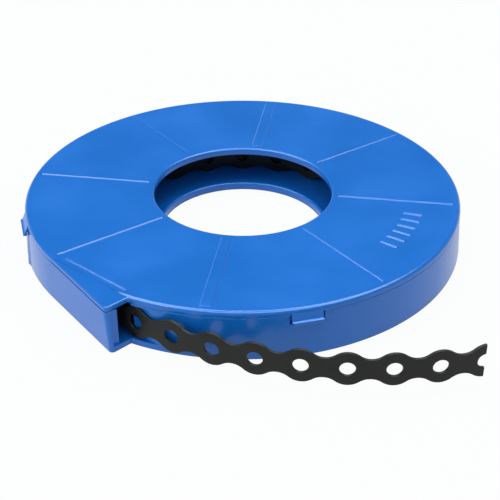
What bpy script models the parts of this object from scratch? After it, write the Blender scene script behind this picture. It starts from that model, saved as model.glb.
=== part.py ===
"""Coil of perforated steel strap in its round moulded dispenser box.

The box is a flat ring that lies on its floor plate. A strap coil sits inside it, and the strap's
free end comes out of a nozzle that runs tangentially off the ring. All sizes are in metres, with
+Z up and the origin under the middle of the whole object's footprint.
"""

import math

import bmesh
import bpy
from mathutils import Matrix, Vector

# Perforated strap, plastic coated
STRAP_WIDTH = 0.0122
STRAP_THICKNESS = 0.0010
NECK_WIDTH = 0.0072
HOLE_DIAMETER = 0.0051
HOLE_PITCH = 0.0144

# Strap coil and free end
COIL_TURNS = 26
TURN_SPACING = 0.00128
TURNS_PER_RIDGE = 2
RIDGE_DEPTH = 0.0005
FREE_CURL_RADIUS = 0.1270
FIRST_HOLE_BEYOND_MOUTH = 0.0011
HOLES_OUTSIDE = 8
ROOT_DEPTH = 0.0002
ROOT_REACH = 0.0030

# Dispenser box
LID_RADIUS = 0.0810
WALL_THICKNESS = 0.0018
WALL_FLARE = 0.0010
FLOOR_THICKNESS = 0.0020
LID_THICKNESS = 0.0020
EDGE_ROUNDING = 0.0009
RIM_RISE = 0.00025
RIM_WIDTH = 0.0030
SHELL_ROUNDING = 0.0005
CORNER_ROUNDING = 0.0012
LID_BORE_RADIUS = 0.0334
LID_LIP_THICKNESS = 0.0016
LID_LIP_DEPTH = 0.0034
CURB_RADIUS = 0.0310
CURB_THICKNESS = 0.0018
CURB_HEIGHT = 0.0032
CURB_ROUNDING = 0.0006

# Nozzle
NOZZLE_ANGLE = math.radians(215.93)
NOZZLE_REACH = 0.0385
MOUTH_PLAY = 0.0006
RELIEF_LENGTH = 0.0100
GUIDE_SETBACK = 0.0004
GUIDE_THICKNESS = 0.0013
GUIDE_LENGTH = 0.0050
COVER_STEP = 0.00018
COVER_INSET = 0.0048
COVER_ROUNDING = 0.0006

# Raised lines on the lid
RIB_COUNT = 8
RIB_FIRST_ANGLE = math.radians(36.5)
RIB_WIDTH = 0.0009
RIB_HEIGHT = 0.00035
WIDE_RIB_WIDTH = 0.0034
WIDE_RIBS = (1, 5)
RIB_END_MARGIN = 0.0026
CHORD_RIB_INSET = 0.0012
CHORD_RIB_END_MARGIN = 0.0045

# Snap tabs
TAB_ANGLES = tuple(math.radians(15.0 + 90.0 * quarter) for quarter in range(4))
TAB_WIDTH = 0.0106
TAB_THICKNESS = 0.0012
TAB_SLOPE = 0.0020
TAB_DROP = 0.0034
TAB_LIP = 0.0014
TAB_HOLLOW = 0.0003
NOTCH_PLAY = 0.0006
NOTCH_DEPTH = 0.00125
NOTCH_DROP = 0.0032

# Clearances
SEAT_GAP = 0.0003
COIL_PLAY = 0.0018
STRAP_SEAT = 0.0004
STRAP_HEADROOM = 0.0009
OVERLAP = 0.0008
CUTTER_MARGIN = 0.0160
PUNCH_PLAY = 0.00025
PUNCH_TRIM = 0.0001

# Facets
ROUND_SEGMENTS = 72
COIL_SEGMENTS = 56
HOLE_SEGMENTS = 16
BAND_STEPS = 48
ARC_STEPS = 6
MERGE = 1e-6
CREASE_ANGLE = math.radians(35.0)

# Worked out from the sizes above
WALL_INNER_RADIUS = LID_RADIUS - WALL_THICKNESS
COIL_RADIUS = WALL_INNER_RADIUS - COIL_PLAY
STRAP_MIDDLE = FLOOR_THICKNESS + STRAP_SEAT + STRAP_WIDTH / 2
LID_UNDERSIDE = STRAP_MIDDLE + STRAP_WIDTH / 2 + STRAP_HEADROOM
BOX_HEIGHT = LID_UNDERSIDE + LID_THICKNESS
WALL_TOP = LID_UNDERSIDE - SEAT_GAP
FIRST_HOLE_REACH = NOZZLE_REACH + FIRST_HOLE_BEYOND_MOUTH
FREE_END_RADIUS = COIL_RADIUS - STRAP_THICKNESS / 2 - ROOT_DEPTH
FREE_END_LIFT = 1 / FREE_END_RADIUS - 1 / FREE_CURL_RADIUS


def clear_scene():
    """Removes every object that the file starts with."""
    for obj in list(bpy.data.objects):
        bpy.data.objects.remove(obj, do_unlink=True)


def make_collection(name, helpers=False):
    """A collection of the scene, left out of the render if it holds helpers."""
    collection = bpy.data.collections.new(name)
    collection.hide_render = helpers
    bpy.context.scene.collection.children.link(collection)
    return collection


def make_material(name, colour, roughness, metallic):
    """A plain finish."""
    material = bpy.data.materials.new(name)
    material.use_nodes = True
    shader = material.node_tree.nodes["Principled BSDF"]
    shader.inputs["Base Color"].default_value = (*colour, 1.0)
    shader.inputs["Roughness"].default_value = roughness
    shader.inputs["Metallic"].default_value = metallic
    return material


def arc(centre, radius, start, end, steps):
    """Points of an arc in a plane, both ends included."""
    angles = [start + (end - start) * step / steps for step in range(steps + 1)]
    return [
        (centre[0] + radius * math.cos(angle), centre[1] + radius * math.sin(angle))
        for angle in angles
    ]


def ring_steps(angle):
    """How many facets a stretch of a round outline gets."""
    return max(2, round(ROUND_SEGMENTS * abs(angle) / math.tau))


def in_nozzle_frame(along, out):
    """A plan point from its distance along the nozzle and its distance out from the ring's axis."""
    cosine, sine = math.cos(NOZZLE_ANGLE), math.sin(NOZZLE_ANGLE)
    return (out * cosine - along * sine, out * sine + along * cosine)


def mouth_angle(radius):
    """Where the nozzle's mouth plane meets a circle round the ring's axis."""
    return NOZZLE_ANGLE + math.asin(NOZZLE_REACH / radius)


def ring_arc(radius, start, end):
    """A stretch of a circle round the ring's axis."""
    return arc((0.0, 0.0), radius, start, end, ring_steps(end - start))


def nozzle_corner():
    """The rounded outer corner of the nozzle's mouth, from the tangent side to the mouth."""
    middle = (NOZZLE_REACH - CORNER_ROUNDING, LID_RADIUS - CORNER_ROUNDING)
    corner = arc(middle, CORNER_ROUNDING, math.pi / 2, 0.0, ARC_STEPS // 2)
    return [in_nozzle_frame(*point) for point in corner]


def box_outline():
    """Plan outline of the ring with its nozzle, counterclockwise from the mouth's inner corner."""
    ring = ring_arc(LID_RADIUS, mouth_angle(LID_RADIUS), NOZZLE_ANGLE + math.tau)
    return ring + nozzle_corner()


def room_outline():
    """Plan outline of the room inside the side wall, open at the nozzle's mouth."""
    radius = WALL_INNER_RADIUS
    ring = ring_arc(radius, mouth_angle(radius), NOZZLE_ANGLE + math.tau)
    return [*ring, in_nozzle_frame(NOZZLE_REACH + MOUTH_PLAY, radius)]


def mesh_object(name, mesh, collection):
    """An object of this mesh in this collection."""
    obj = bpy.data.objects.new(name, mesh)
    collection.objects.link(obj)
    return obj


def as_helper(obj):
    """Marks an object as one that only shapes others."""
    obj.hide_render = True
    obj.display_type = "WIRE"
    return obj


def turned(name, profile, segments, collection):
    """A solid turned about Z from a closed profile that runs down its outer side."""
    mesh = bpy.data.meshes.new(name)
    points = [(x, 0.0, z) for x, z in profile]
    edges = [(index, (index + 1) % len(points)) for index in range(len(points))]
    mesh.from_pydata(points, edges, [])
    obj = mesh_object(name, mesh, collection)
    screw = obj.modifiers.new("turn", "SCREW")
    screw.axis = "Z"
    screw.steps = segments
    screw.render_steps = segments
    screw.use_merge_vertices = True
    screw.merge_threshold = MERGE
    screw.use_smooth_shade = True
    return obj


def plate(name, outlines, thickness, collection, rounding=0.0):
    """A flat plate, from its outline and the outlines of its holes, with its middle at Z = 0."""
    curve = bpy.data.curves.new(name, "CURVE")
    curve.dimensions = "2D"
    curve.fill_mode = "BOTH"
    curve.extrude = thickness / 2 - rounding
    curve.bevel_depth = rounding
    curve.offset = -rounding
    curve.bevel_resolution = 1
    for outline in outlines:
        spline = curve.splines.new("POLY")
        spline.points.add(len(outline) - 1)
        spline.use_cyclic_u = True
        for point, (x, y) in zip(spline.points, outline):
            point.co = (x, y, 0.0, 1.0)
    drawn = mesh_object(name + "_outline", curve, collection)
    bpy.context.view_layer.update()
    evaluated = drawn.evaluated_get(bpy.context.evaluated_depsgraph_get())
    mesh = bpy.data.meshes.new_from_object(evaluated)
    bpy.data.objects.remove(drawn, do_unlink=True)
    work = bmesh.new()
    work.from_mesh(mesh)
    bmesh.ops.remove_doubles(work, verts=work.verts, dist=MERGE)
    bmesh.ops.recalc_face_normals(work, faces=work.faces)
    work.to_mesh(mesh)
    work.free()
    return mesh_object(name, mesh, collection)


def boxes(name, placed, collection):
    """One object of several boxes, each given by its size and its place."""
    work = bmesh.new()
    for size, place in placed:
        scale = Matrix.Diagonal((*size, 1.0))
        bmesh.ops.create_cube(work, size=1.0, matrix=place @ scale)
    mesh = bpy.data.meshes.new(name)
    work.to_mesh(mesh)
    work.free()
    return mesh_object(name, mesh, collection)


def combine(obj, other, operation):
    """Joins a helper to an object, or cuts the object with it."""
    modifier = obj.modifiers.new(other.name, "BOOLEAN")
    modifier.solver = "EXACT"
    modifier.operation = operation
    modifier.object = as_helper(other)


def smooth(obj):
    """Smooth shading with crisp edges where the form turns sharply."""
    obj.data.shade_smooth()
    obj.data.set_sharp_from_angle(angle=CREASE_ANGLE)


def coil_profile():
    """Section of the coil: a block whose two ends are ridged by the turns."""
    ridges = COIL_TURNS // TURNS_PER_RIDGE
    pitch = TURNS_PER_RIDGE * TURN_SPACING
    half = STRAP_WIDTH / 2
    upper = []
    for index in range(2 * ridges + 1):
        height = half - (RIDGE_DEPTH if index % 2 == 0 else 0.0)
        upper.append((COIL_RADIUS - pitch * index / 2, height))
    lower = [(x, -z) for x, z in upper]
    return [(x, STRAP_MIDDLE + z) for x, z in lower + upper[::-1]]


def lobe_middle(index):
    """How far along the free end a lobe's middle lies; lobe 0 is the first outside the mouth."""
    return FIRST_HOLE_REACH + index * HOLE_PITCH


def strap_edge(first, last):
    """Upper edge of the flat strap between two lobes, as round lobes joined by hollow necks."""
    lobe = STRAP_WIDTH / 2
    neck = NECK_WIDTH / 2
    half_pitch = HOLE_PITCH / 2
    hollow = (half_pitch**2 + neck**2 - lobe**2) / (2 * (lobe - neck))
    meet = math.atan2(neck + hollow, half_pitch)
    points = []
    for index in range(first, last + 1):
        middle = lobe_middle(index)
        points += arc((middle, 0.0), lobe, math.pi - meet, meet, ARC_STEPS + 2)
        centre = (middle + half_pitch, neck + hollow)
        points += arc(centre, hollow, math.pi + meet, math.tau - meet, ARC_STEPS)[1:-1]
    return points


def first_waved_lobe():
    """The first lobe of the free end that the punch can shape without touching the coil."""
    reach = math.sqrt(2 * (STRAP_THICKNESS + ROOT_DEPTH + PUNCH_PLAY) / FREE_END_LIFT)
    return math.ceil((reach - FIRST_HOLE_REACH) / HOLE_PITCH)


def punch_outlines():
    """Flat pattern of all that is punched from the free end: scalloped edges and round holes."""
    first = first_waved_lobe()
    crown = lobe_middle(first)
    beyond = STRAP_WIDTH / 2 + OVERLAP
    upper = [point for point in strap_edge(first, HOLES_OUTSIDE) if point[0] > crown - MERGE]
    upper = [(crown, beyond), *upper, (upper[-1][0], beyond)]
    lower = [(x, -y) for x, y in upper[::-1]]
    outlines = [upper, lower]
    for index in range(HOLES_OUTSIDE + 1):
        middle = (lobe_middle(index), 0.0)
        outlines.append(arc(middle, HOLE_DIAMETER / 2, 0.0, math.tau, HOLE_SEGMENTS)[:-1])
    return outlines


def cut_across(obj, places):
    """Splits a flat strap's faces straight across, so that it can bend evenly."""
    work = bmesh.new()
    work.from_mesh(obj.data)
    for place in places:
        geometry = [*work.verts, *work.edges, *work.faces]
        bmesh.ops.bisect_plane(
            work, geom=geometry, dist=MERGE, plane_co=(place, 0.0, 0.0), plane_no=(1.0, 0.0, 0.0)
        )
    work.to_mesh(obj.data)
    work.free()


def curl_centre():
    """Centre of the arc that the strap's free end curls along."""
    return in_nozzle_frame(0.0, FREE_END_RADIUS - FREE_CURL_RADIUS)


def curl_turn(reach):
    """Direction from the curl's centre to a place along the free end."""
    return NOZZLE_ANGLE + reach / FREE_CURL_RADIUS


def curled_plate(name, reaches, thickness, height, helpers):
    """A plate stood on edge, curled as the free end is between two places along it."""
    turns = [curl_turn(reach) for reach in reaches]
    outer = arc(curl_centre(), FREE_CURL_RADIUS + thickness / 2, *turns, BAND_STEPS)
    inner = arc(curl_centre(), FREE_CURL_RADIUS - thickness / 2, *turns, BAND_STEPS)
    return plate(name, [outer + inner[::-1]], height, helpers)


def make_band(helpers):
    """The plain band that the free end is punched from, peeling off the coil along the nozzle."""
    reaches = (ROOT_REACH, lobe_middle(HOLES_OUTSIDE))
    height = STRAP_WIDTH + 2 * PUNCH_TRIM
    band = curled_plate("band", reaches, STRAP_THICKNESS, height, helpers)
    band.location.z = STRAP_MIDDLE
    return band


def make_relief(helpers):
    """The relief that thins the ring wall's end, so that the strap lies along it."""
    reaches = (NOZZLE_REACH - RELIEF_LENGTH, NOZZLE_REACH + RELIEF_LENGTH)
    thickness = STRAP_THICKNESS + 2 * SEAT_GAP
    relief = curled_plate("relief", reaches, thickness, 2 * (WALL_TOP - FLOOR_THICKNESS), helpers)
    relief.location.z = WALL_TOP
    return relief


def make_punch(helpers):
    """The punch that gives the band its wavy edges and its holes, curled as the band is."""
    outlines = punch_outlines()
    start = min(x for outline in outlines for x, y in outline)
    flat = [[(x - start, y) for x, y in outline] for outline in outlines]
    punch = plate("punch", flat, STRAP_THICKNESS + 2 * PUNCH_PLAY, helpers)
    length = max(vertex.co.x for vertex in punch.data.vertices)
    quarter = HOLE_PITCH / 4
    cut_across(punch, [quarter * step for step in range(1, math.ceil(length / quarter))])
    punch.data.transform(Matrix.Rotation(math.pi / 2, 4, "X"))
    bend = punch.modifiers.new("curl", "SIMPLE_DEFORM")
    bend.deform_method = "BEND"
    bend.deform_axis = "Z"
    bend.angle = length / FREE_CURL_RADIUS
    turn = curl_turn(start)
    place = arc(curl_centre(), FREE_CURL_RADIUS, turn, turn, 1)[0]
    punch.location = (*place, STRAP_MIDDLE)
    punch.rotation_euler.z = turn + math.pi / 2
    return punch


def make_strap(parts, helpers, finish):
    """The strap: one coil whose free end is a punched band."""
    strap = turned("perforated_strap", coil_profile(), COIL_SEGMENTS, parts)
    combine(strap, make_band(helpers), "UNION")
    combine(strap, make_punch(helpers), "DIFFERENCE")
    strap.data.materials.append(finish)
    return strap


def make_shell(parts, helpers, finish):
    """The box's lower moulding: floor, side wall, curb round the bore and strap guide."""
    bore = ring_arc(CURB_RADIUS + CURB_THICKNESS / 2, math.tau, 0.0)[:-1]
    shell = plate("bottom_shell", [box_outline(), bore], WALL_TOP, parts, SHELL_ROUNDING)
    flare(shell.data)
    shell.data.transform(Matrix.Translation((0.0, 0.0, WALL_TOP / 2)))
    room = plate("room", [room_outline()], 2 * (WALL_TOP - FLOOR_THICKNESS), helpers)
    room.location.z = WALL_TOP
    combine(shell, room, "DIFFERENCE")
    outer = CURB_RADIUS + CURB_THICKNESS
    rounding = CURB_ROUNDING
    crown = arc((outer - rounding, CURB_HEIGHT - rounding), rounding, math.pi / 2, 0.0, 2)
    brow = arc((CURB_RADIUS + rounding, CURB_HEIGHT - rounding), rounding, math.pi, math.pi / 2, 2)
    foot = SEAT_GAP
    profile = [*crown, (outer, foot), (CURB_RADIUS, foot), *brow]
    combine(shell, turned("curb", profile, ROUND_SEGMENTS, helpers), "UNION")
    guide_foot = FLOOR_THICKNESS - OVERLAP
    guide_top = WALL_TOP - SHELL_ROUNDING
    thickness = GUIDE_THICKNESS + OVERLAP
    out = WALL_INNER_RADIUS - GUIDE_THICKNESS + thickness / 2
    x, y = in_nozzle_frame(NOZZLE_REACH - GUIDE_SETBACK - GUIDE_LENGTH / 2, out)
    place = Matrix.Translation((x, y, (guide_top + guide_foot) / 2))
    place = place @ Matrix.Rotation(NOZZLE_ANGLE, 4, "Z")
    size = (thickness, GUIDE_LENGTH, guide_top - guide_foot)
    combine(shell, boxes("strap_guide", [(size, place)], helpers), "UNION")
    combine(shell, make_relief(helpers), "DIFFERENCE")
    combine(shell, make_notches(helpers), "DIFFERENCE")
    shell.data.materials.append(finish)
    return shell


def flare(mesh):
    """Widens a plate's lower edge about the ring's axis, as the box's side wall widens."""
    wider = 1 + WALL_FLARE / LID_RADIUS
    for vertex in mesh.vertices:
        if vertex.co.z < 0:
            vertex.co.xy *= wider


def make_notches(helpers):
    """The notches in the side wall's outer face that the snap tabs pass through."""
    size = (2 * NOTCH_DEPTH, TAB_WIDTH + 2 * NOTCH_PLAY, 2 * NOTCH_DROP)
    middle = Matrix.Translation((LID_RADIUS, 0.0, WALL_TOP))
    turns = [Matrix.Rotation(angle, 4, "Z") for angle in TAB_ANGLES]
    return boxes("notches", [(size, turn @ middle) for turn in turns], helpers)


def lid_profile():
    """Section of the round lid, with a rounded rim and a lip turned down into the bore."""
    round_rim = arc(
        (LID_RADIUS - EDGE_ROUNDING, BOX_HEIGHT + RIM_RISE - EDGE_ROUNDING),
        EDGE_ROUNDING,
        math.pi / 2,
        0.0,
        ARC_STEPS - 2,
    )
    lip_outer = LID_BORE_RADIUS + LID_LIP_THICKNESS
    lip_end = BOX_HEIGHT - LID_LIP_DEPTH
    half = LID_LIP_THICKNESS / 2
    lip_tip = arc((LID_BORE_RADIUS + half, lip_end + half), half, 0.0, -math.pi, ARC_STEPS - 2)
    lip_brow = arc(
        (LID_BORE_RADIUS + EDGE_ROUNDING, BOX_HEIGHT - EDGE_ROUNDING),
        EDGE_ROUNDING,
        math.pi,
        math.pi / 2,
        ARC_STEPS // 2,
    )
    rim_foot = (LID_RADIUS - RIM_WIDTH, BOX_HEIGHT)
    underside = [(LID_RADIUS, LID_UNDERSIDE), (lip_outer, LID_UNDERSIDE)]
    return [rim_foot, *round_rim, *underside, *lip_tip, *lip_brow]


def make_lid(parts, helpers, finish):
    """The snap-on lid: round plate, nozzle cover, raised ribs and snap tabs."""
    lid = turned("lid", lid_profile(), ROUND_SEGMENTS, parts)
    chord = (NOZZLE_ANGLE, mouth_angle(LID_RADIUS))
    corners = [ring_arc(LID_RADIUS, angle, angle)[0] for angle in chord]
    beyond = LID_RADIUS + CUTTER_MARGIN
    far = [ring_arc(beyond, angle, angle)[0] for angle in chord[::-1]]
    cut = plate("nozzle_cut", [corners + far], 3 * LID_THICKNESS, helpers)
    cut.location.z = BOX_HEIGHT - LID_THICKNESS / 2
    combine(lid, cut, "DIFFERENCE")
    start, end = corners
    within = LID_RADIUS - COVER_INSET
    inner = [ring_arc(within, angle, angle)[0] for angle in chord[::-1]]
    outline = [start, *nozzle_corner(), end, *inner]
    thickness = LID_THICKNESS - 2 * COVER_STEP
    cover = plate("nozzle_cover", [outline], thickness, helpers, COVER_ROUNDING)
    cover.location.z = BOX_HEIGHT - LID_THICKNESS / 2
    combine(lid, cover, "UNION")
    combine(lid, make_ribs(helpers), "UNION")
    combine(lid, make_tabs(helpers), "UNION")
    lid.data.materials.append(finish)
    return lid


def make_ribs(helpers):
    """The raised radial lines, two of them broad, and the one along the nozzle's chord."""
    inner = LID_BORE_RADIUS + RIB_END_MARGIN
    outer = LID_RADIUS - RIB_END_MARGIN
    placed = []
    for index in range(RIB_COUNT):
        width = WIDE_RIB_WIDTH if index in WIDE_RIBS else RIB_WIDTH
        turn = Matrix.Rotation(RIB_FIRST_ANGLE + math.tau * index / RIB_COUNT, 4, "Z")
        middle = ((inner + outer) / 2, 0.0, BOX_HEIGHT + RIB_HEIGHT - LID_THICKNESS / 2)
        place = turn @ Matrix.Translation(middle)
        placed.append(((outer - inner, width, LID_THICKNESS), place))
    half_turn = (mouth_angle(LID_RADIUS) - NOZZLE_ANGLE) / 2
    out = LID_RADIUS * math.cos(half_turn) - CHORD_RIB_INSET
    length = 2 * (LID_RADIUS * math.sin(half_turn) - CHORD_RIB_END_MARGIN)
    turn = Matrix.Rotation(NOZZLE_ANGLE + half_turn, 4, "Z")
    place = turn @ Matrix.Translation((out, 0.0, BOX_HEIGHT + RIB_HEIGHT - LID_THICKNESS / 2))
    placed.append(((RIB_WIDTH, length, LID_THICKNESS), place))
    return boxes("ribs", placed, helpers)


def make_tabs(helpers):
    """The four snap tabs that slope out over the side wall and hook down outside it."""
    root = LID_RADIUS - TAB_SLOPE
    shoulder = LID_RADIUS - EDGE_ROUNDING / 2
    tip = shoulder + TAB_SLOPE
    top = BOX_HEIGHT - SEAT_GAP
    profile = [
        (root, top),
        (shoulder, top),
        (tip, top - TAB_DROP),
        (tip, top - TAB_DROP - TAB_LIP),
        (tip - TAB_THICKNESS, top - TAB_DROP - TAB_LIP),
        (tip - TAB_THICKNESS, top - TAB_DROP + TAB_HOLLOW),
        (shoulder - TAB_THICKNESS, top - TAB_THICKNESS),
        (root, top - TAB_THICKNESS),
    ]
    stood = Matrix.Rotation(math.pi / 2, 4, "X")
    work = bmesh.new()
    for angle in TAB_ANGLES:
        tab = plate("tab", [profile], TAB_WIDTH, helpers)
        tab.data.transform(Matrix.Rotation(angle, 4, "Z") @ stood)
        work.from_mesh(tab.data)
        bpy.data.objects.remove(tab, do_unlink=True)
    mesh = bpy.data.meshes.new("tabs")
    work.to_mesh(mesh)
    work.free()
    return mesh_object("tabs", mesh, helpers)


def footprint_middle(objects):
    """Middle of the evaluated objects' plan box."""
    graph = bpy.context.evaluated_depsgraph_get()
    corners = []
    for obj in objects:
        evaluated = obj.evaluated_get(graph)
        corners += [evaluated.matrix_world @ Vector(corner) for corner in evaluated.bound_box]
    low = Vector(map(min, zip(*corners)))
    high = Vector(map(max, zip(*corners)))
    return (low + high) / 2


def main():
    clear_scene()
    parts = make_collection("strap_dispenser")
    helpers = make_collection("helpers", helpers=True)
    blue = make_material("blue_moulding", (0.03, 0.18, 0.66), 0.35, 0.0)
    black = make_material("black_coating", (0.018, 0.018, 0.017), 0.45, 0.0)
    made = [
        make_shell(parts, helpers, blue),
        make_lid(parts, helpers, blue),
        make_strap(parts, helpers, black),
    ]
    base = bpy.data.objects.new("dispenser_base", None)
    parts.objects.link(base)
    for obj in [*made, *helpers.objects]:
        obj.parent = base
    for obj in made:
        smooth(obj)
    bpy.context.view_layer.update()
    middle = footprint_middle(made)
    base.location = (-middle.x, -middle.y, 0.0)


if __name__ == "__main__":
    main()
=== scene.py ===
"""A coil of coated perforated steel strap in its round moulded dispenser box."""

import logging
import math
from contextlib import contextmanager
from dataclasses import dataclass
from enum import Enum
from typing import Any, Callable, Iterator, Mapping, Sequence

import bmesh
import bpy
from mathutils import Matrix, Vector


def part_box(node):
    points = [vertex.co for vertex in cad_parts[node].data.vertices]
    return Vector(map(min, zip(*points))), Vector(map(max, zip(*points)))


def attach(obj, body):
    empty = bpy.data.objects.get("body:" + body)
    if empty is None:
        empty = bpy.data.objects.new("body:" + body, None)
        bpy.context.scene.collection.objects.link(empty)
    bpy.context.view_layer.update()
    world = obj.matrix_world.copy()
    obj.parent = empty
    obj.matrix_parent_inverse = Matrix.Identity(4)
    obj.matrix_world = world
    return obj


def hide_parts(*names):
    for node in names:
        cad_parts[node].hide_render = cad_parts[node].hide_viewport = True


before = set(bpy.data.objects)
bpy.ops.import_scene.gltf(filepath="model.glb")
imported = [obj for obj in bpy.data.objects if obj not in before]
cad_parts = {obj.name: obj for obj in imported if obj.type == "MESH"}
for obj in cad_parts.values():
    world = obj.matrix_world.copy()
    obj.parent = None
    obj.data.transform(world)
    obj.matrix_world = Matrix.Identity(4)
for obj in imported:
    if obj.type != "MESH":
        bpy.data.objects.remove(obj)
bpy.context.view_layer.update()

LOG = logging.getLogger("strap_dispenser")

Span = tuple[float, float]
Station = tuple[float, float]
Place = tuple[float, float, float]
Colour = tuple[float, float, float]

FULL_TURN = math.tau
QUARTER_TURN = math.pi / 2
MERGE = 1e-6
NEAR = 1e-5
CREASE = math.radians(32.0)
SEED = 0.001
FACE_WEIGHT = 100
MIX_FIRST, MIX_SECOND, MIX_RESULT = 6, 7, 2


class Slot(Enum):
    """The record's material slots."""

    MOULDING = "box_moulding"
    COATING = "strap_coating"


# --- Modelling by operators ---


def deselect_all() -> None:
    """Deselects every object."""
    for obj in bpy.context.selected_objects:
        obj.select_set(False)
    bpy.context.view_layer.objects.active = None


def take(obj: bpy.types.Object) -> None:
    """Makes an object the only one selected, and active.

    Args:
        obj: the object.
    """
    deselect_all()
    obj.select_set(True)
    bpy.context.view_layer.objects.active = obj


@contextmanager
def editing(obj: bpy.types.Object) -> Iterator[None]:
    """Edit mode on one object, with nothing in it selected at the start.

    Args:
        obj: the mesh object to edit.
    """
    take(obj)
    bpy.ops.object.mode_set(mode="EDIT")
    bpy.ops.mesh.select_mode(type="VERT")
    bpy.ops.mesh.select_all(action="DESELECT")
    yield
    bpy.ops.object.mode_set(mode="OBJECT")


def pick(obj: bpy.types.Object, test: Callable[[Vector], bool]) -> None:
    """Selects, in edit mode, the vertices whose place passes a test, and nothing else.

    Args:
        obj: the object in edit mode.
        test: says of a vertex's place whether it is wanted.
    """
    bpy.ops.mesh.select_all(action="DESELECT")
    work = bmesh.from_edit_mesh(obj.data)
    for vertex in work.verts:
        vertex.select_set(test(vertex.co))
    work.select_flush(True)
    bmesh.update_edit_mesh(obj.data)


def pick_edges(obj: bpy.types.Object, test: Callable[[Vector, Vector], bool]) -> None:
    """Selects, in edit mode, the edges whose two ends pass a test, and nothing else.

    Args:
        obj: the object in edit mode.
        test: says of an edge's two ends whether it is wanted.
    """
    bpy.ops.mesh.select_all(action="DESELECT")
    bpy.ops.mesh.select_mode(type="EDGE")
    work = bmesh.from_edit_mesh(obj.data)
    for edge in work.edges:
        edge.select_set(test(edge.verts[0].co, edge.verts[1].co))
    bmesh.update_edit_mesh(obj.data)


def pick_all() -> None:
    """Selects everything in edit mode."""
    bpy.ops.mesh.select_all(action="SELECT")


def round_sharp(offset: float, segments: int, crease: float = CREASE) -> None:
    """Bevels, in edit mode, every edge that is sharper than an angle.

    Args:
        offset: the bevel's width.
        segments: how many facets it has.
        crease: the angle.
    """
    bpy.ops.mesh.select_all(action="DESELECT")
    bpy.ops.mesh.select_mode(type="EDGE")
    bpy.ops.mesh.edges_select_sharp(sharpness=crease)
    bpy.ops.mesh.bevel(offset=offset, segments=segments, affect="EDGES")


def shift(x: float = 0.0, y: float = 0.0, z: float = 0.0) -> None:
    """Moves what is selected in edit mode."""
    bpy.ops.transform.translate(value=(x, y, z))


def stretch(x: float = 1.0, y: float = 1.0, z: float = 1.0) -> None:
    """Scales what is selected in edit mode about the ring's axis at Z = 0."""
    bpy.ops.transform.resize(value=(x, y, z), center_override=(0.0, 0.0, 0.0))


def extrude_by(x: float = 0.0, y: float = 0.0, z: float = 0.0) -> None:
    """Extrudes what is selected in edit mode, and moves the new part."""
    bpy.ops.mesh.extrude_region_move(TRANSFORM_OT_translate={"value": (x, y, z)})


def clean_up() -> None:
    """Merges doubles and turns every face outwards, in edit mode."""
    pick_all()
    bpy.ops.mesh.remove_doubles(threshold=MERGE)
    bpy.ops.mesh.normals_make_consistent(inside=False)


def settle(obj: bpy.types.Object) -> bpy.types.Object:
    """Puts an object's place, turn and scale into its mesh.

    Args:
        obj: the object.

    Returns:
        The same object.
    """
    take(obj)
    bpy.ops.object.transform_apply(location=True, rotation=True, scale=True)
    return obj


def apply_modifier(obj: bpy.types.Object, kind: str, **settings: Any) -> None:
    """Adds a modifier and applies it at once.

    Args:
        obj: the object to change.
        kind: the modifier's type.
        settings: the modifier's own settings.
    """
    take(obj)
    modifier = obj.modifiers.new(kind.lower(), kind)
    for name, value in settings.items():
        setattr(modifier, name, value)
    bpy.ops.object.modifier_apply(modifier=modifier.name)


def combine(obj: bpy.types.Object, other: bpy.types.Object, operation: str) -> None:
    """Joins one solid to another, or cuts with it, and deletes it.

    Args:
        obj: the solid that stays.
        other: the solid that joins it or cuts it.
        operation: UNION or DIFFERENCE.
    """
    apply_modifier(obj, "BOOLEAN", operation=operation, solver="MANIFOLD", object=other)
    bpy.data.objects.remove(other, do_unlink=True)


def copy_turned(obj: bpy.types.Object, angle: float) -> bpy.types.Object:
    """A copy of an object with its own mesh, turned about the ring's axis.

    Args:
        obj: the object to copy.
        angle: how far to turn the copy.

    Returns:
        The copy, with its turn in its mesh.
    """
    take(obj)
    bpy.ops.object.duplicate(linked=False)
    copy = bpy.context.active_object
    copy.rotation_euler.z = angle
    return settle(copy)


def repeated(pattern: bpy.types.Object, angles: Sequence[float]) -> list[bpy.types.Object]:
    """Turned copies of an object, which take its place.

    Args:
        pattern: the object to copy, which is deleted.
        angles: how far each copy is turned.

    Returns:
        The copies.
    """
    made = [copy_turned(pattern, angle) for angle in angles]
    bpy.data.objects.remove(pattern, do_unlink=True)
    return made


def drawn(name: str, points: Sequence[Station]) -> bpy.types.Object:
    """A closed line of (x, z) points in the plane Y = 0, drawn by extruding one vertex.

    Args:
        name: the object's name.
        points: the line's points in order.

    Returns:
        The line's object.
    """
    deselect_all()
    x, z = points[0]
    bpy.ops.mesh.primitive_plane_add(size=SEED, location=(x, 0.0, z))
    obj = bpy.context.active_object
    obj.name = name
    settle(obj)
    with editing(obj):
        pick_all()
        bpy.ops.mesh.merge(type="CENTER")
        for (x0, z0), (x1, z1) in zip(points, points[1:]):
            extrude_by(x=x1 - x0, z=z1 - z0)
        ends = [Vector((end[0], 0.0, end[1])) for end in (points[0], points[-1])]
        pick(obj, lambda co: min((co - end).length for end in ends) < MERGE)
        bpy.ops.mesh.edge_face_add()
    return obj


def block(place: Place, size: Place, turn: float = 0.0) -> bpy.types.Object:
    """A box, to be shaped further.

    Args:
        place: where its middle is.
        size: its size along its own axes.
        turn: how far it is turned about its upright axis.

    Returns:
        The box's object.
    """
    deselect_all()
    bpy.ops.mesh.primitive_cube_add(size=1.0, location=place, rotation=(0.0, 0.0, turn), scale=size)
    return settle(bpy.context.active_object)


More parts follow.
